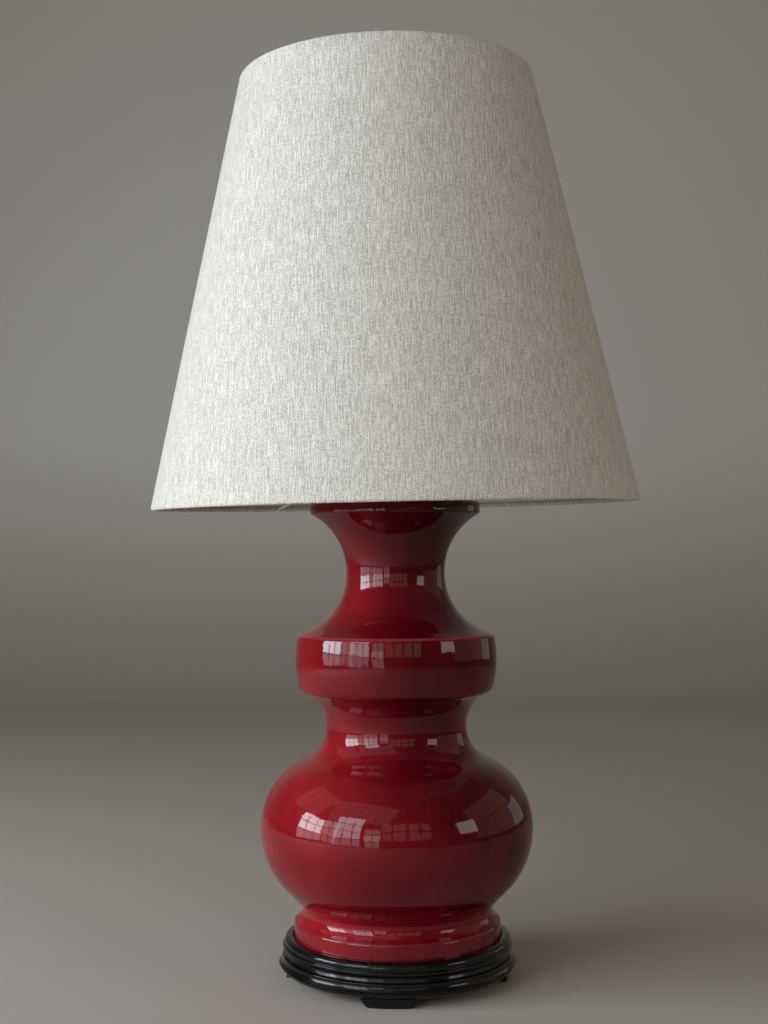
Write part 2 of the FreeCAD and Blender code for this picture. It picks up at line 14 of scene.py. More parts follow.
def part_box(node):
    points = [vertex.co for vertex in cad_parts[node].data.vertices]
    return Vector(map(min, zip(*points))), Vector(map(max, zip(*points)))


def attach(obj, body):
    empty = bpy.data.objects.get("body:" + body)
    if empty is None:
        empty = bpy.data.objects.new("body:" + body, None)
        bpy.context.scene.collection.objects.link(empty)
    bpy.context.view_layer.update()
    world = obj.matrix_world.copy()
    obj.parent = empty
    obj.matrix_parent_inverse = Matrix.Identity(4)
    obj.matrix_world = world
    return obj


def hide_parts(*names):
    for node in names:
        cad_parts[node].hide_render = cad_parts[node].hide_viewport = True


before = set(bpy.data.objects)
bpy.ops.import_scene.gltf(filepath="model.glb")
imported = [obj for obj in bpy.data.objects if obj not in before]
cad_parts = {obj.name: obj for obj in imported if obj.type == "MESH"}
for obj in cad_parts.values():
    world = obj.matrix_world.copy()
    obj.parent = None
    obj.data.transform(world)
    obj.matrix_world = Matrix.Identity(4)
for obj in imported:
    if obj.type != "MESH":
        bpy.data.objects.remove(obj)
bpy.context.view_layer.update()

MM = 0.001

# ---------------------------------------------------------------- sizes, from the frame where it holds them
POT_LOW, POT_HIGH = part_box("ceramic_body")
LIP_Z = POT_HIGH.z
FOOT_Z = POT_LOW.z

SHADE_RIM_Z = 481.0 * MM
SHADE_BOTTOM_R = 250.5 * MM
SHADE_TOP_R = 151.2 * MM
SHADE_HEIGHT = 442.0 * MM
SHADE_LEAN_LEFT = math.radians(0.94)
SHADE_LEAN_FRONT = math.radians(0.72)
LINEN_T = 0.9 * MM
LINER_T = 0.8 * MM
HEM_R = 2.6 * MM
HEM_GAP = 0.4 * MM
LINER_GAP = 0.02 * MM
UNEVEN = 0.25 * MM
UNEVEN_SEED = 3
UNEVEN_WAVES = 8
UNEVEN_RISES = 3
WALL_SLOPE = math.atan2(SHADE_BOTTOM_R - SHADE_TOP_R, SHADE_HEIGHT)
WALL_LENGTH = math.hypot(SHADE_BOTTOM_R - SHADE_TOP_R, SHADE_HEIGHT)

# laps at the seam: a strip starts to lift LAP_LIFT_FROM laps before its end, and takes
# LAP_LIFT_OVER of a lap to come up
LAP = math.radians(2.8)
LINER_LAP = math.radians(2.0)
LAP_LIFT = LINEN_T * 1.05
LAP_LIFT_FROM = 1.9
LAP_LIFT_OVER = 0.8

# how fine the shade's mesh is, and how far apart its two faces lie in the cloth's coordinates
WALL_STEPS = 24
HALF_TURN_STEPS = 12
HEM_TUCK_STEPS = 4
LINEN_SEGMENTS = 360
LINER_SEGMENTS = 240
SHADE_SHARP = math.radians(45)
CLOTH_DEPTH = 3

# pot: how fine its mesh is, and the bends in 1/m at which its glaze has run thin or pooled
POT_SEGMENTS = 288
POT_STEP = 1.6 * MM
POT_SHARP = math.radians(40)
THIN_BEND = 260.0
POOL_BEND = 400.0
BEND_WIDTH = 1.0 * MM

# glaze drains from an edge as it faces up: from that share on, over that much more, a little anywhere
DRAIN_FROM = 0.3
DRAIN_OVER = 0.5
DRAIN_LEAST = 0.05

# the foot's band, below that height in mm, has run at least a little thin
FOOT_BAND_Z = 57.5
FOOT_BAND_THIN = 0.22

# how bright the glaze is by height in mm: less where it is thick, more where it is thin, together with
# painted shade, darker on the lower belly and on the upper neck under the shade, and painted light, lighter
# in the cove over the foot
GLAZE_DEPTH_AND_SHADE_Z = (38, 57, 62, 76, 90, 120, 165, 205, 250, 280, 345, 400, 430, 452, 470)
GLAZE_DEPTH_AND_SHADE = (0.78, 0.84, 1.20, 1.30, 0.85, 0.80, 1.0, 0.95, 0.80, 0.72, 0.70, 0.76, 0.58, 0.54, 0.55)

# camera, at the photograph's view
LENS = 49.652
CAMERA_AT = (0.0, -1.46311, 0.43709)
CAMERA_YAW = -0.0079
CAMERA_PITCH = 0.0255
CAMERA_ROLL = 0.0055

# studio windows and panels round the object's middle: name, azimuth and elevation in degrees, distance,
# width, height, columns of panes, gap between panes, radiance of each row from the bottom up, colour.
# Azimuth 0 is the camera's side, and negative is left.
WINDOW_TARGET = (0.0, 0.0, 0.45)
WINDOWS = [
    ("key_window", -76, 5, 2.3, 1.0, 1.1, 3, 0.03, (2.8, 13.0, 13.0), (0.85, 0.93, 1.02)),
    ("near_window", -56, 5, 2.3, 0.52, 1.1, 2, 0.03, (1.6, 2.6, 3.4), (0.90, 0.95, 1.0)),
    ("side_window", -41, 9, 2.3, 0.9, 1.54, 3, 0.03, (1.8, 4.7, 4.9, 5.4), (0.88, 0.94, 1.03)),
    ("inner_window", -20, 2, 2.3, 0.5, 1.0, 2, 0.03, (1.4, 2.6, 1.3), (1.0, 0.95, 0.88)),
    ("high_panel", -35, 38, 2.4, 2.4, 1.3, 4, 0.03, (0.4, 0.4), (0.93, 0.96, 1.0)),
    ("left_panel", -92, 34, 2.4, 1.4, 1.2, 2, 0.03, (0.35, 0.35), (0.95, 0.97, 1.0)),
    ("small_window", 60, 9, 2.3, 0.68, 0.62, 1, 0.0, (2.6,), (0.97, 0.95, 0.93)),
    ("front_panel", 8, 12, 2.4, 1.7, 1.0, 4, 0.08, (0.56, 0.60), (1.0, 0.80, 0.58)),
    ("right_panel", 92, 14, 2.5, 2.4, 1.8, 2, 0.04, (0.22, 0.22), (1.0, 0.82, 0.62)),
    ("back_panel", 122, 2, 2.6, 0.8, 0.8, 1, 0.0, (0.45,), (0.98, 0.93, 0.95)),
]
WORLD_COLOUR = (1.0, 0.85, 0.62, 1)
WORLD_STRENGTH = 0.085

# paper sweep under and behind the object
SWEEP_HALF_WIDTH = 7.0
SWEEP_FRONT = -7.0
SWEEP_BEND_Y = 2.5
SWEEP_BEND_R = 0.9
SWEEP_BEND_STEPS = 16
SWEEP_TOP = 5.0
FLOOR_COLOUR = (0.53, 0.495, 0.44)
WALL_COLOUR = (0.85, 0.83, 0.78)
WALL_COLOUR_Z = 0.9

# depth of the finest marks on metal and plastic
FINE_MARKS = 0.02 * MM

# least length that is divided by
TINY = 1e-12


# ---------------------------------------------------------------- outlines and turned meshes
def rounded(corners, step=3.2 * MM, turn=math.radians(7)):
    """Points along an open outline of (r, z, radius) corners, with tangent arcs at the corners."""
    points = []
    last = len(corners) - 1
    for i, (r, z, radius) in enumerate(corners):
        corner = np.array((r, z))
        if i in (0, last) or radius <= 0:
            points.append(corner)
            continue
        before = np.array(corners[i - 1][:2]) - corner
        after = np.array(corners[i + 1][:2]) - corner
        before /= np.linalg.norm(before)
        after /= np.linalg.norm(after)
        half = math.acos(float(np.clip(before @ after, -1, 1))) / 2
        reach = radius / math.tan(half)
        centre = corner + (before + after) / np.linalg.norm(before + after) * radius / math.sin(half)
        start = corner + before * reach - centre
        end = corner + after * reach - centre
        first = math.atan2(start[1], start[0])
        sweep = (math.atan2(end[1], end[0]) - first + math.pi) % (2 * math.pi) - math.pi
        steps = max(3, int(abs(sweep) / turn), int(abs(sweep) * radius / step))
        for k in range(steps + 1):
            angle = first + sweep * k / steps
            points.append(centre + radius * np.array((math.cos(angle), math.sin(angle))))
    return np.array(points)


def spaced(points, step):
    """The same outline with its long runs divided."""
    out = []
    for a, b in zip(points[:-1], points[1:]):
        runs = max(1, int(np.linalg.norm(b - a) / step))
        out += [a + (b - a) * k / runs for k in range(runs)]
    out.append(points[-1])
    return np.array(out)


def mesh_object(name, vertices, faces):
    mesh = bpy.data.meshes.new(name)
    mesh.from_pydata([tuple(v) for v in vertices], [], faces)
    mesh.validate()
    mesh.update()
    made = bpy.data.objects.new(name, mesh)
    bpy.context.scene.collection.objects.link(made)
    for polygon in mesh.polygons:
        polygon.use_smooth = True
    return made


def grid_faces(rows, columns, close_rows):
    """Quads of a rows x columns grid of points: each row closes round, and the rows do where asked."""
    faces = []
    for i in range(rows if close_rows else rows - 1):
        for j in range(columns):
            a = i * columns + j
            b = i * columns + (j + 1) % columns
            c = (i + 1) % rows * columns + (j + 1) % columns
            d = (i + 1) % rows * columns + j
            faces.append((a, b, c, d))
    return faces


def turned(name, loop, segments):
    """Closed outline loop of (r, z) points turned about Z."""
    angles = np.linspace(0, 2 * math.pi, segments, endpoint=False)
    vertices = [(r * math.cos(a), r * math.sin(a), z) for a in angles for r, z in loop]
    return mesh_object(name, vertices, grid_faces(segments, len(loop), True))


def point_attribute(piece, name, values):
    attribute = piece.data.attributes.new(name, "FLOAT", "POINT")
    attribute.data.foreach_set("value", np.asarray(values, np.float32))


def vector_attribute(piece, name, values):
    attribute = piece.data.attributes.new(name, "FLOAT_VECTOR", "POINT")
    attribute.data.foreach_set("vector", np.asarray(values, np.float32).ravel())


# ---------------------------------------------------------------- materials
def new_material(name, **sockets):
    """A Principled material with plain values on the shader's own sockets; names have _ for spaces."""
    made = bpy.data.materials.new(name)
    made.use_nodes = True
    shader = made.node_tree.nodes["Principled BSDF"]
    for key, value in sockets.items():
        shader.inputs[key.replace("_", " ")].default_value = value
    return made, made.node_tree, shader


def add(tree, kind, inputs=None, **settings):
    """A node with its settings and inputs; an input that is a socket is linked."""
    node = tree.nodes.new("ShaderNode" + kind)
    for key, value in settings.items():
        setattr(node, key, value)
    for key, value in (inputs or {}).items():
        if isinstance(value, bpy.types.NodeSocket):
            tree.links.new(value, node.inputs[key])
        else:
            node.inputs[key].default_value = value
    return node


def math_node(tree, operation, *values):
    node = tree.nodes.new("ShaderNodeMath")
    node.operation = operation
    for i, value in enumerate(values):
        if isinstance(value, bpy.types.NodeSocket):
            tree.links.new(value, node.inputs[i])
        else:
            node.inputs[i].default_value = value
    return node.outputs[0]


def times(tree, value, factor):
    return math_node(tree, "MULTIPLY", value, factor)


def weighted(tree, *parts):
    """Sum of (value, weight) parts."""
    total = times(tree, *parts[0])
    for value, weight in parts[1:]:
        total = math_node(tree, "ADD", total, times(tree, value, weight))
    return total


def place(tree):
    """Where the point is on the lamp, in metres."""
    return add(tree, "TexCoord").outputs["Object"]


def scaled(tree, vector, scale):
    return add(tree, "VectorMath", {0: vector, 1: scale}, operation="MULTIPLY").outputs[0]


def noise(tree, vector, scale, detail=3.0, roughness=0.55, distortion=0.0):
    inputs = {"Vector": vector, "Scale": scale, "Detail": detail, "Roughness": roughness}
    inputs["Distortion"] = distortion
    return add(tree, "TexNoise", inputs).outputs["Fac"]


def spread(tree, value, low, high, to_low=0.0, to_high=1.0, smooth=True):
    """Maps a value from one range to another, clamped."""
    inputs = {"Value": value, "From Min": low, "From Max": high, "To Min": to_low, "To Max": to_high}
    kind = "SMOOTHSTEP" if smooth else "LINEAR"
    return add(tree, "MapRange", inputs, interpolation_type=kind, clamp=True).outputs["Result"]


def mix(tree, factor, a, b, blend="MIX"):
    """Mixed colour: inputs 0, 6 and 7 of the node are the factor and the colours, and output 2 the mix."""
    node = add(tree, "Mix", data_type="RGBA", blend_type=blend)
    for index, value in ((0, factor), (6, a), (7, b)):
        if isinstance(value, bpy.types.NodeSocket):
            tree.links.new(value, node.inputs[index])
        else:
            node.inputs[index].default_value = value if index == 0 else (*value, 1.0)
    return node.outputs[2]


def bump(tree, height, distance, after=None):
    inputs = {"Height": height, "Distance": distance, "Strength": 1.0}
    if after is not None:
        inputs["Normal"] = after
    return add(tree, "Bump", inputs).outputs["Normal"]


def finish_with(tree, shader, **sockets):
    for key, value in sockets.items():
        tree.links.new(value, shader.inputs[key.replace("_", " ")])


def glaze_material():
    """Deep red, bright glaze: darker where it pools, coral and pink where it runs thin off an edge; painted
    light makes it brighter red towards -X and darker towards +X, and the pot's depth attribute adds painted
    shade and light by height.
    """
    made, tree, shader = new_material("oxblood_glaze", IOR=1.43)
    # the first two reds are the glaze in painted shade on its right side, the next two in painted light on
    # its left
    shaded_wine = (0.080, 0.0008, 0.0042)
    shaded_cherry = (0.160, 0.0024, 0.0085)
    lit_crimson = (0.235, 0.0048, 0.0120)
    lit_scarlet = (0.370, 0.0125, 0.0200)
    streak = (0.290, 0.0080, 0.0130)
    coral = (0.330, 0.026, 0.036)
    pink = (0.600, 0.190, 0.190)
    pooled = (0.045, 0.0006, 0.0030)
    pitted = (0.030, 0.001, 0.002)
    at = place(tree)
    clouds = noise(tree, at, scale=9.0, detail=4.0, roughness=0.6)
    runs = noise(tree, scaled(tree, at, (46.0, 46.0, 7.0)), scale=1.0, detail=4.0, roughness=0.62)
    fine = noise(tree, at, scale=420.0, detail=2.0, roughness=0.6)
    # painted light and shade: the glaze is brighter red towards -X, where the key light falls, and darker
    # towards +X, the shaded side
    level = scaled(tree, at, (1.0, 1.0, 0.0))
    bearing = add(tree, "VectorMath", {0: level}, operation="NORMALIZE").outputs[0]
    across = add(tree, "SeparateXYZ", {"Vector": bearing}).outputs["X"]
    wander = spread(tree, clouds, 0.3, 0.7, to_low=-0.22, to_high=0.22, smooth=False)
    painted_light_share = spread(tree, math_node(tree, "ADD", across, wander), 0.32, -0.82)
    clouded = spread(tree, clouds, 0.36, 0.66)
    painted_shade_side = mix(tree, clouded, shaded_wine, shaded_cherry)
    painted_lit_side = mix(tree, clouded, lit_crimson, lit_scarlet)
    body = mix(tree, painted_light_share, painted_shade_side, painted_lit_side)
    body = mix(tree, spread(tree, runs, 0.45, 0.75, to_low=0.0, to_high=0.25), body, streak)
    # the depth attribute holds thick and thin glaze and also painted shade and light by height: darker
    # upper neck under the shade, lighter cove over the foot
    depth = add(tree, "Attribute", attribute_name="depth").outputs["Fac"]
    body = mix(tree, 1.0, body, depth, "MULTIPLY")
    thin = add(tree, "Attribute", attribute_name="thin").outputs["Fac"]
    uneven = spread(tree, runs, 0.30, 0.72, to_low=-0.16, to_high=0.16, smooth=False)
    speckled = spread(tree, fine, 0.35, 0.65, to_low=-0.05, to_high=0.05, smooth=False)
    thinness = weighted(tree, (thin, 1.0), (uneven, thin), (speckled, thin))
    body = mix(tree, spread(tree, thinness, 0.10, 0.50), body, coral)
    body = mix(tree, spread(tree, thinness, 0.50, 0.95), body, pink)
    pool = add(tree, "Attribute", attribute_name="pool").outputs["Fac"]
    body = mix(tree, spread(tree, pool, 0.25, 1.0, to_low=0.0, to_high=0.75), body, pooled)
    pits = add(tree, "TexVoronoi", {"Vector": at, "Scale": 95.0, "Randomness": 1.0}).outputs
    kept = spread(tree, noise(tree, at, scale=31.0, detail=1.0), 0.60, 0.64)
    pit = times(tree, spread(tree, pits["Distance"], 0.045, 0.02), kept)
    body = mix(tree, times(tree, pit, 0.8), body, pitted)
    swell = noise(tree, at, scale=26.0, detail=2.0, roughness=0.4)
    peel = noise(tree, at, scale=150.0, detail=2.0, roughness=0.5)
    normal = bump(tree, swell, 0.6 * MM)
    normal = bump(tree, peel, 0.06 * MM, normal)
    normal = bump(tree, pit, 0.25 * MM, normal)
    smears = noise(tree, at, scale=17.0, detail=5.0, roughness=0.65)
    gloss = spread(tree, smears, 0.3, 0.8, to_low=0.035, to_high=0.075)
    finish_with(tree, shader, Base_Color=body, Normal=normal, Roughness=gloss)
    return made


def lacquer_material():
    """Black satin lacquer on turned wood, dusty and rubbed in patches."""
    made, tree, shader = new_material("black_lacquer", IOR=1.42)
    black = (0.0022, 0.0025, 0.0032)
    rubbed = (0.0050, 0.0052, 0.0058)
    dusty = (0.090, 0.088, 0.082)
    at = place(tree)
    grain = noise(tree, scaled(tree, at, (22.0, 240.0, 300.0)), scale=1.0, detail=4.0, roughness=0.6)
    cloud = noise(tree, at, scale=30.0, detail=4.0, roughness=0.6)
    motes = noise(tree, at, scale=900.0, detail=2.0, roughness=0.7)
    dust = spread(tree, motes, 0.62, 0.80, to_low=0.0, to_high=0.35)
    colour = mix(tree, spread(tree, cloud, 0.3, 0.7), black, rubbed)
    colour = mix(tree, times(tree, dust, spread(tree, cloud, 0.4, 0.7)), colour, dusty)
    normal = bump(tree, grain, 0.06 * MM)
    gloss = spread(tree, cloud, 0.25, 0.75, to_low=0.09, to_high=0.15)
    finish_with(tree, shader, Base_Color=colour, Normal=normal, Roughness=gloss)
    return made


def linen_material():
    """Natural linen: a plain weave of uneven yarns with slubs, in the cloth's own flat coordinates."""
    made, tree, shader = new_material("natural_linen", Roughness=0.92, Specular_IOR_Level=0.15,
                                      Sheen_Weight=0.25, Sheen_Roughness=0.45)
    pale = (0.940, 0.924, 0.868)
    dark = (0.540, 0.514, 0.446)
    slubbed = (0.890, 0.870, 0.810)
    bark = (0.330, 0.285, 0.210)
    pitch_across = 0.95
    pitch_along = 1.05
    per_mm = 1000.0
    cloth = add(tree, "Attribute", attribute_name="cloth").outputs["Vector"]

    def yarns(across, along, detail, seed):
        """Streaks of that size in mm across and along the warp."""
        shift = {0: cloth, 1: (seed, seed * 0.7, seed * 0.3)}
        moved = add(tree, "VectorMath", shift, operation="ADD").outputs[0]
        stretched = scaled(tree, moved, (per_mm / across, per_mm / along, 1.0))
        return noise(tree, stretched, scale=1.0, detail=detail, roughness=0.6)

    warp = yarns(across=0.80, along=18.0, detail=1.0, seed=0.0)
    warp_long = yarns(across=1.1, along=70.0, detail=1.0, seed=3.1)
    weft = yarns(across=9.0, along=0.85, detail=1.0, seed=5.3)
    slub = yarns(across=1.3, along=26.0, detail=1.0, seed=7.7)
    slub_flat = yarns(across=18.0, along=1.4, detail=1.0, seed=9.1)
    speck = yarns(across=0.72, along=0.90, detail=0.0, seed=11.4)
    tone = weighted(tree, (warp, 0.42), (weft, 0.08), (warp_long, 0.16), (speck, 0.34))
    colour = mix(tree, spread(tree, tone, 0.442, 0.558, smooth=False), dark, pale)
    upright_slubs = spread(tree, slub, 0.66, 0.74)
    level_slubs = spread(tree, slub_flat, 0.68, 0.76, to_low=0.0, to_high=0.8)
    thick = math_node(tree, "MAXIMUM", upright_slubs, level_slubs)
    colour = mix(tree, times(tree, thick, 0.35), colour, slubbed)
    flecks = spread(tree, yarns(across=1.3, along=5.0, detail=1.0, seed=15.2), 0.72, 0.78)
    colour = mix(tree, times(tree, flecks, 0.55), colour, bark)
    parts = add(tree, "SeparateXYZ", {"Vector": cloth}).outputs
    over = math_node(tree, "SINE", times(tree, parts["X"], math.pi * per_mm / pitch_across))
    under = math_node(tree, "SINE", times(tree, parts["Y"], math.pi * per_mm / pitch_along))
    weave = math_node(tree, "ABSOLUTE", math_node(tree, "ADD", over, under))
    height = weighted(tree, (weave, 0.35), (tone, 3.2), (thick, 0.6))
    finish_with(tree, shader, Base_Color=colour, Normal=bump(tree, height, 0.22 * MM))
    return made


def liner_material():
    """Stiff white lampshade liner, faintly pebbled and a little yellowed."""
    made, tree, shader = new_material("white_liner", Roughness=0.5, IOR=1.45)
    at = place(tree)
    cloud = noise(tree, at, scale=14.0, detail=3.0)
    pebbles = noise(tree, at, scale=1400.0, detail=2.0)
    colour = mix(tree, spread(tree, cloud, 0.3, 0.7), (0.820, 0.800, 0.750), (0.870, 0.860, 0.830))
    finish_with(tree, shader, Base_Color=colour, Normal=bump(tree, pebbles, 0.04 * MM))
    return made


def metal_material(name, colour, worn, rough):
    """Turned metal: fine marks round the axis, with dull and bright patches."""
    made, tree, shader = new_material(name, Metallic=1.0)
    at = place(tree)
    marks = noise(tree, scaled(tree, at, (60.0, 60.0, 2600.0)), scale=1.0, detail=3.0, roughness=0.6)
    cloud = noise(tree, at, scale=160.0, detail=4.0, roughness=0.65)
    tint = mix(tree, spread(tree, cloud, 0.35, 0.72), colour, worn)
    gloss = spread(tree, cloud, 0.25, 0.75, *rough)
    finish_with(tree, shader, Base_Color=tint, Roughness=gloss, Normal=bump(tree, marks, FINE_MARKS))
    return made


def plastic_material(name, colour, other, rough, scale=120.0):
    """Moulded plastic with a soft mottling and a fine skin."""
    skin_scale = 12 * scale
    made, tree, shader = new_material(name, IOR=1.5)
    at = place(tree)
    cloud = noise(tree, at, scale=scale, detail=4.0, roughness=0.6)
    tint = mix(tree, spread(tree, cloud, 0.3, 0.7), colour, other)
    gloss = spread(tree, cloud, 0.25, 0.75, *rough)
    skin = noise(tree, at, scale=skin_scale, detail=2.0)
    finish_with(tree, shader, Base_Color=tint, Roughness=gloss, Normal=bump(tree, skin, FINE_MARKS))
    return made


def felt_material(name, colour, other):
    """Pressed fibre: short crossed hairs."""
    made, tree, shader = new_material(name, Roughness=0.95, Sheen_Weight=0.3)
    at = place(tree)
    hairs = noise(tree, at, scale=1500.0, detail=4.0, roughness=0.75, distortion=1.5)
    cloud = noise(tree, at, scale=60.0, detail=3.0)
    tint = mix(tree, spread(tree, hairs, 0.3, 0.7), colour, other)
    tint = mix(tree, spread(tree, cloud, 0.35, 0.7, to_low=0.0, to_high=0.4), tint, colour)
    finish_with(tree, shader, Base_Color=tint, Normal=bump(tree, hairs, 0.35 * MM))
    return made


def glass_material():
    """Clear blown glass, faintly wavy."""
    made, tree, shader = new_material("bulb_glass", Transmission_Weight=1.0, IOR=1.48)
    at = place(tree)
    gloss = spread(tree, noise(tree, at, scale=70.0, detail=3.0), 0.3, 0.7, to_low=0.0, to_high=0.035)
    waves = noise(tree, at, scale=45.0, detail=1.0)
    finish_with(tree, shader, Roughness=gloss, Normal=bump(tree, waves, 0.12 * MM))
    return made


def filament_material():
    """Amber phosphor coat of the filaments, finely beaded."""
    made, tree, shader = new_material("filament_phosphor", Roughness=0.55)
    at = place(tree)
    beads = noise(tree, at, scale=900.0, detail=2.0)
    tint = mix(tree, spread(tree, beads, 0.35, 0.65), (0.85, 0.52, 0.10), (0.93, 0.72, 0.28))
    finish_with(tree, shader, Base_Color=tint, Normal=bump(tree, beads, 0.1 * MM))
    return made


# ---------------------------------------------------------------- glazed pot
def pot_outline():
    """Outer face of the pot, from the lip's top down to the foot."""
    corners = [
        (60.0, 485.0, 0),
        (87.8, 485.0, 3.0),
        (87.8, 472.9, 2.2),
        (50.9, 450.1, 68.0),
        (50.9, 367.3, 63.5),
        (101.6, 348.5, 5.0),
        (103.9, 331.0, 115.0),
        (103.5, 312.0, 100.0),
        (99.5, 291.0, 9.0),
        (72.3, 278.4, 37.5),
        (72.3, 231.9, 35.0),
        (139.8, 198.2, 75.0),
        (139.8, 116.2, 85.0),
        (97.6, 73.1, 3.0),
        (97.6, 64.5, 14.0),
        (105.8, 57.0, 3.5),
        (105.8, 38.0, 1.5),
        (90.0, 38.0, 0),
    ]
    return [(r * MM, z * MM, radius * MM) for r, z, radius in corners]


def bend_of(points):
    """Signed bend of an outline in 1/m at each point, positive where it turns outwards."""
    before = points - np.roll(points, 1, 0)
    after = np.roll(points, -1, 0) - points
    cross = before[:, 0] * after[:, 1] - before[:, 1] * after[:, 0]
    lengths = np.linalg.norm(before, axis=1) * np.linalg.norm(after, axis=1)
    turn = np.arcsin(np.clip(cross / np.maximum(lengths, TINY), -1, 1))
    reach = (np.linalg.norm(before, axis=1) + np.linalg.norm(after, axis=1)) / 2
    bend = -turn / np.maximum(reach, TINY)
    bend[0] = bend[-1] = 0
    return bend


def softened(points, values, width):
    """Values averaged along the outline with a bell of that width."""
    along = np.concatenate([[0], np.cumsum(np.linalg.norm(np.diff(points, axis=0), axis=1))])
    weight = np.gradient(along)
    bell = np.exp(-0.5 * ((along[:, None] - along[None, :]) / width) ** 2) * weight[None, :]
    return (bell @ values) / bell.sum(1)


def pot_inside():
    """The rest of the pot's section: up its bore, round its hollow and out to the lip."""
    mouth_r = 20.0
    bore_r = 6.5
    floor_z = 46.0
    hollow = [
        (90.0, floor_z), (90.6, 76.0), (130.0, 130.0), (132.8, 157.0), (128.0, 186.0), (70.0, 222.0),
        (65.3, 255.0), (72.0, 288.0), (95.0, 297.0), (95.3, 343.0), (60.0, 352.0), (44.5, 385.0),
        (43.9, 415.0), (48.0, 445.0), (70.0, 474.0), (mouth_r, 477.0),
    ]
    hollow = [np.array((r * MM, z * MM)) for r, z in hollow]
    bore = [np.array((bore_r * MM, FOOT_Z)), np.array((bore_r * MM, floor_z * MM))]
    return bore + hollow + [np.array((mouth_r * MM, LIP_Z))]


def glazed_pot():
    """The pot, with how thin, pooled or deep its glaze is at each point of the outline, and painted shade
    and light by height.
    """
    outer = spaced(rounded(pot_outline()), POT_STEP)
    loop = np.array(list(outer) + pot_inside())
    pot = turned("glazed_pot", loop, POT_SEGMENTS)
    bend = bend_of(outer)
    run = np.gradient(outer, axis=0)
    faces_up = run[:, 0] / np.linalg.norm(run, axis=1)
    drained = np.clip((faces_up - DRAIN_FROM) / DRAIN_OVER, DRAIN_LEAST, 1)
    bared = np.maximum(bend, 0) * drained
    thin = np.clip(softened(outer, bared, BEND_WIDTH) / THIN_BEND, 0, 1)
    pool = np.clip(softened(outer, np.maximum(-bend, 0), BEND_WIDTH) / POOL_BEND, 0, 1)
    z = outer[:, 1] / MM
    thin = np.maximum(thin, np.where(z < FOOT_BAND_Z, FOOT_BAND_THIN, 0.0))
    # depth: thick and thin glaze, and painted shade and light by height
    depth = np.interp(z, GLAZE_DEPTH_AND_SHADE_Z, GLAZE_DEPTH_AND_SHADE)
    hidden = len(loop) - len(outer)
    for name, values, inside in (("thin", thin, 0), ("pool", pool, 0), ("depth", depth, 1)):
        whole = np.concatenate([values, np.full(hidden, inside)])
        point_attribute(pot, name, np.tile(whole, POT_SEGMENTS))
    pot.data.set_sharp_from_angle(angle=POT_SHARP)
    pot.data.materials.append(glaze_material())
    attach(pot, "base")
    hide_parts("ceramic_body")


# ---------------------------------------------------------------- shade
LEAN = (Matrix.Translation((0, 0, SHADE_RIM_Z))
        @ Matrix.Rotation(-SHADE_LEAN_LEFT, 4, "Y") @ Matrix.Rotation(SHADE_LEAN_FRONT, 4, "X")
        @ Matrix.Translation((0, 0, -SHADE_RIM_Z)))


def wall_point(along, depth):
    """(r, z) of a point of the shade's section: along the outer wall from the rim, and in from its face."""
    r = SHADE_BOTTOM_R - along * math.sin(WALL_SLOPE) - depth * math.cos(WALL_SLOPE)
    z = SHADE_RIM_Z + along * math.cos(WALL_SLOPE) - depth * math.sin(WALL_SLOPE)
    return r, z


def hem_path():
    """Middle line of the linen as (along, depth): round the lower wire, up the wall, round the upper."""
    middle = LINEN_T / 2
    roll = HEM_R - middle
    half = []
    for k in range(-HEM_TUCK_STEPS, HALF_TURN_STEPS + 1):
        a = math.radians(180 * k / HALF_TURN_STEPS)
        half.append((HEM_R - roll * math.sin(a), HEM_R + roll * math.cos(a)))
    rises = [(WALL_LENGTH * k / WALL_STEPS, middle) for k in range(1, WALL_STEPS)]
    mirrored = [(WALL_LENGTH - along, depth) for along, depth in reversed(half)]
    return np.array(half + rises + mirrored)


def thick_path(path, thickness):
    """Closed outline at half the thickness to each side of a path."""
    way = np.gradient(path, axis=0)
    way /= np.linalg.norm(way, axis=1)[:, None]
    side = np.stack([-way[:, 1], way[:, 0]], 1) * thickness / 2
    return np.concatenate([path + side, (path - side)[::-1]])


def ripple(angle, along):
    """Gentle unevenness of the wall, the same each run."""
    rng = np.random.default_rng(UNEVEN_SEED)
    total = np.zeros(np.broadcast(angle, along).shape)
    for k in range(1, UNEVEN_WAVES + 1):
        phase = rng.uniform(0, 2 * math.pi, 2)
        rise = along / WALL_LENGTH * math.pi * rng.integers(0, UNEVEN_RISES)
        total += np.sin(k * angle + phase[0]) * np.cos(rise + phase[1]) / k
    return total * UNEVEN


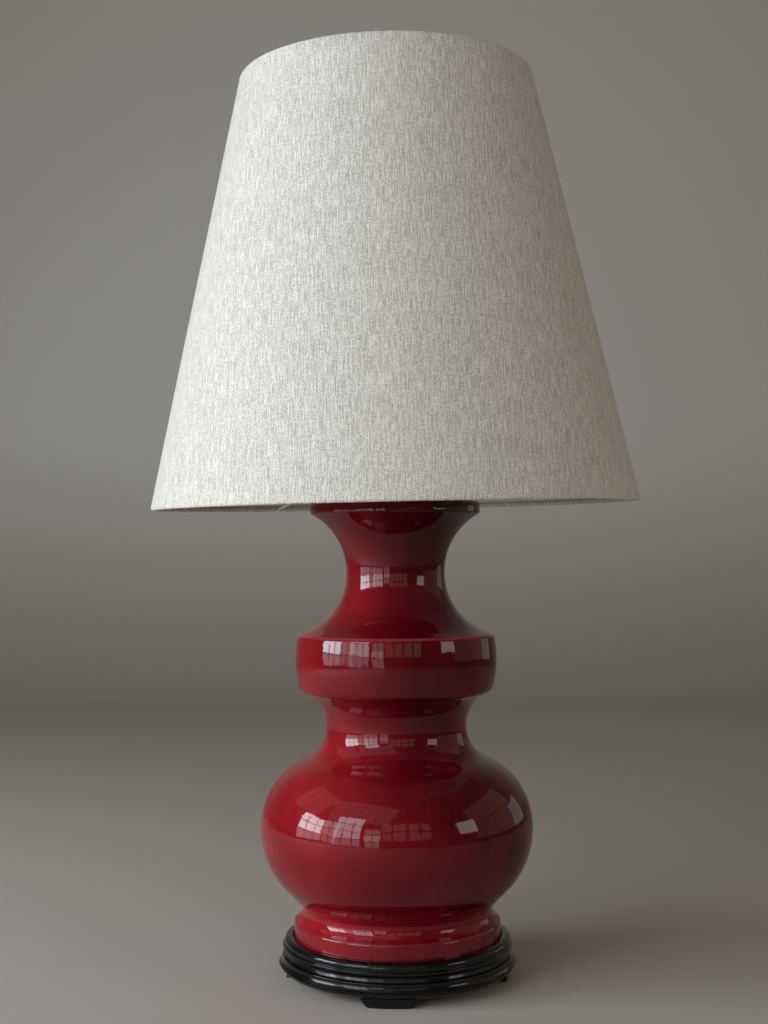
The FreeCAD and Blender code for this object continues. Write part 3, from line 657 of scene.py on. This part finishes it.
def shade_strip(name, outline, segments, lap, lift):
    """The section swept from the back once round and a lap further, its end lifted past its start."""
    seam = math.pi / 2
    front = 3 * math.pi / 2
    whole = 2 * math.pi + lap
    start = seam - lap / 2
    share = lap / whole
    count = segments + 1
    turns = np.linspace(0, 1, count)
    vertices = []
    cloth = []
    for t in turns:
        angle = start + whole * t
        raised = float(np.clip((t - 1 + LAP_LIFT_FROM * share) / (LAP_LIFT_OVER * share), 0, 1))
        raised = raised * raised * (3 - 2 * raised) * lift
        uneven = ripple(np.array(angle), outline[:, 0])
        round_it = angle - front
        for (along, depth), off in zip(outline, uneven):
            r, z = wall_point(along, depth - raised - off)
            vertices.append(LEAN @ Vector((r * math.cos(angle), r * math.sin(angle), z)))
            reach = SHADE_BOTTOM_R / math.sin(WALL_SLOPE) - along
            bearing = round_it * math.sin(WALL_SLOPE)
            cloth.append((reach * math.sin(bearing), reach * math.cos(bearing), depth * CLOTH_DEPTH))
    faces = grid_faces(count, len(outline), False)
    first = list(range(len(outline)))
    last = [(count - 1) * len(outline) + j for j in first]
    half = len(outline) // 2
    for j in range(half - 1):
        mate = len(outline) - 1 - j
        faces.append((first[j], first[mate], first[mate - 1], first[j + 1]))
        faces.append((last[j], last[j + 1], last[mate - 1], last[mate]))
    made = mesh_object(name, vertices, faces)
    vector_attribute(made, "cloth", cloth)
    made.data.set_sharp_from_angle(angle=SHADE_SHARP)
    return made


def linen_cover():
    """Cover of one piece of linen, cut as a ring's sector, stretched over the liner and the two wires."""
    path = hem_path()
    outline = thick_path(path, LINEN_T)
    cover = shade_strip("linen_cover", outline, LINEN_SEGMENTS, LAP, LAP_LIFT)
    cover.data.materials.append(linen_material())
    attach(cover, "shade")
    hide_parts("shade_linen")


def shade_lining():
    """Stiff liner behind the linen, from wire to wire, lapped inwards at the back."""
    start = 2 * HEM_R + HEM_GAP
    length = WALL_LENGTH - 2 * start
    middle = LINEN_T + LINER_GAP + LINER_T / 2
    path = np.array([(start + length * k / WALL_STEPS, middle) for k in range(WALL_STEPS + 1)])
    outline = thick_path(path, LINER_T)
    lining = shade_strip("shade_lining", outline, LINER_SEGMENTS, LINER_LAP, -LINER_T)
    lining.data.materials.append(liner_material())
    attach(lining, "shade")
    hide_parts("shade_liner")


# ---------------------------------------------------------------- finishes of the carried-over pieces
def dress(finishes):
    """Gives each CAD node its finish."""
    for made, nodes in finishes:
        for node in nodes:
            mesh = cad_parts[node].data
            mesh.materials.clear()
            mesh.materials.append(made)


# ---------------------------------------------------------------- studio
def area_light(name, at, facing, width, height, radiance, colour):
    """Rectangular soft light of a given brightness, turned by a matrix."""
    light = bpy.data.lights.new(name, "AREA")
    light.shape = "RECTANGLE"
    light.size = width
    light.size_y = height
    light.energy = radiance * math.pi * width * height
    light.color = colour
    made = bpy.data.objects.new(name, light)
    made.location = at
    made.rotation_euler = facing.to_euler()
    made.visible_camera = False
    bpy.context.scene.collection.objects.link(made)


def window(name, azimuth, elevation, distance, width, height, columns, gap, rows, colour):
    """A window of separate panes, described as in the WINDOWS list."""
    target = Vector(WINDOW_TARGET)
    a = math.radians(azimuth)
    e = math.radians(elevation)
    away = Vector((math.sin(a) * math.cos(e), -math.cos(a) * math.cos(e), math.sin(e)))
    facing = (-away).to_track_quat("-Z", "Y").to_matrix()
    pane_w = (width - gap * (columns - 1)) / columns
    pane_h = (height - gap * (len(rows) - 1)) / len(rows)
    for i in range(columns):
        for j, radiance in enumerate(rows):
            x = (i - (columns - 1) / 2) * (pane_w + gap)
            y = (j - (len(rows) - 1) / 2) * (pane_h + gap)
            at = target + away * distance + facing @ Vector((x, y, 0))
            area_light(f"{name}_{i}{j}", at, facing, pane_w, pane_h, radiance, colour)


def studio():
    """World light, windows and the paper sweep."""
    world = bpy.data.worlds.new("studio")
    bpy.context.scene.world = world
    world.use_nodes = True
    background = world.node_tree.nodes["Background"]
    background.inputs["Color"].default_value = WORLD_COLOUR
    background.inputs["Strength"].default_value = WORLD_STRENGTH
    for row in WINDOWS:
        window(*row)

    points = [(SWEEP_FRONT, 0.0)]
    for k in range(SWEEP_BEND_STEPS + 1):
        a = math.radians(90 * k / SWEEP_BEND_STEPS)
        points.append((SWEEP_BEND_Y + SWEEP_BEND_R * math.sin(a), SWEEP_BEND_R * (1 - math.cos(a))))
    points.append((SWEEP_BEND_Y + SWEEP_BEND_R, SWEEP_TOP))
    vertices = [(side * SWEEP_HALF_WIDTH, y, z) for y, z in points for side in (-1, 1)]
    faces = [(2 * i, 2 * i + 1, 2 * i + 3, 2 * i + 2) for i in range(len(points) - 1)]
    sweep = mesh_object("studio_sweep", vertices, faces)
    made, tree, shader = new_material("studio_paper", Roughness=0.85)
    at = place(tree)
    height = add(tree, "SeparateXYZ", {"Vector": at}).outputs["Z"]
    tint = mix(tree, spread(tree, height, 0.0, WALL_COLOUR_Z), FLOOR_COLOUR, WALL_COLOUR)
    finish_with(tree, shader, Base_Color=tint)
    sweep.data.materials.append(made)


def camera():
    """The camera, turned by its yaw, pitch and roll."""
    ahead = Vector((math.sin(CAMERA_YAW), math.cos(CAMERA_YAW), 0))
    right = Vector((math.cos(CAMERA_YAW), -math.sin(CAMERA_YAW), 0))
    up = Vector((0, 0, 1))
    forward = ahead * math.cos(CAMERA_PITCH) + up * math.sin(CAMERA_PITCH)
    upward = up * math.cos(CAMERA_PITCH) - ahead * math.sin(CAMERA_PITCH)
    across = right * math.cos(CAMERA_ROLL) - upward * math.sin(CAMERA_ROLL)
    rise = right * math.sin(CAMERA_ROLL) + upward * math.cos(CAMERA_ROLL)
    data = bpy.data.cameras.new("camera")
    data.lens = LENS
    data.clip_start = 0.05
    data.clip_end = 50
    made = bpy.data.objects.new("camera", data)
    turn = Matrix((across, rise, -forward)).transposed().to_4x4()
    made.matrix_world = Matrix.Translation(CAMERA_AT) @ turn
    bpy.context.scene.collection.objects.link(made)
    bpy.context.scene.camera = made


# ---------------------------------------------------------------- everything
camera()
studio()
bpy.context.scene.view_settings.view_transform = "Standard"

glazed_pot()
shade_lining()
linen_cover()

brass = metal_material("brass", (0.72, 0.50, 0.20), (0.55, 0.37, 0.15), rough=(0.16, 0.34))
steel = metal_material("zinc_steel", (0.62, 0.62, 0.60), (0.45, 0.44, 0.42), rough=(0.25, 0.42))
nickel = metal_material("nickel_cap", (0.70, 0.68, 0.64), (0.55, 0.53, 0.50), rough=(0.18, 0.32))
wire = plastic_material("white_wire_enamel", (0.72, 0.71, 0.67), (0.80, 0.79, 0.75),
                        rough=(0.25, 0.40), scale=300.0)
holder = plastic_material("black_phenolic", (0.012, 0.011, 0.010), (0.022, 0.019, 0.016),
                          rough=(0.16, 0.30))
button = plastic_material("ivory_button", (0.62, 0.57, 0.45), (0.68, 0.63, 0.52), rough=(0.25, 0.40))
porcelain = plastic_material("white_porcelain", (0.78, 0.77, 0.74), (0.84, 0.83, 0.80), rough=(0.10, 0.20))
black_glass = plastic_material("black_cap_glass", (0.010, 0.010, 0.012), (0.018, 0.017, 0.020),
                               rough=(0.05, 0.12))
bush = plastic_material("black_rubber", (0.016, 0.016, 0.016), (0.026, 0.026, 0.025), rough=(0.45, 0.60))
cork = felt_material("cork", (0.40, 0.25, 0.12), (0.58, 0.40, 0.22))
felt = felt_material("black_felt", (0.010, 0.011, 0.010), (0.030, 0.032, 0.030))
lacquer = lacquer_material()
sides = ("front", "right", "back", "left")
feet = [f"foot_{side}" for side in sides]
pads = [f"pad_{side}" for side in sides]
spokes = [f"shade_spoke_{number}" for number in (1, 2, 3)]
dress([
    (lacquer, ["stand_body"] + feet),
    (felt, ["underside_felt"] + pads),
    (steel, ["foot_screws", "lamp_rod", "rod_washer", "rod_nut", "terminal_screws"]),
    (cork, ["body_gasket", "cap_gasket"]),
    (bush, ["cable_bush"]),
    (brass, ["vase_cap", "cap_nut", "screw_shell", "centre_contact"]),
    (holder, ["holder_cap", "holder_skirt", "shade_ring_lower", "shade_ring_upper"]),
    (porcelain, ["holder_core"]),
    (button, ["switch_bar"]),
    (glass_material(), ["bulb_glass", "bulb_stem"]),
    (nickel, ["bulb_cap", "bulb_contact"]),
    (black_glass, ["bulb_insulator"]),
    (filament_material(), ["bulb_filaments"]),
    (wire, ["shade_wire_bottom", "shade_wire_top", "shade_collar"] + spokes),
])
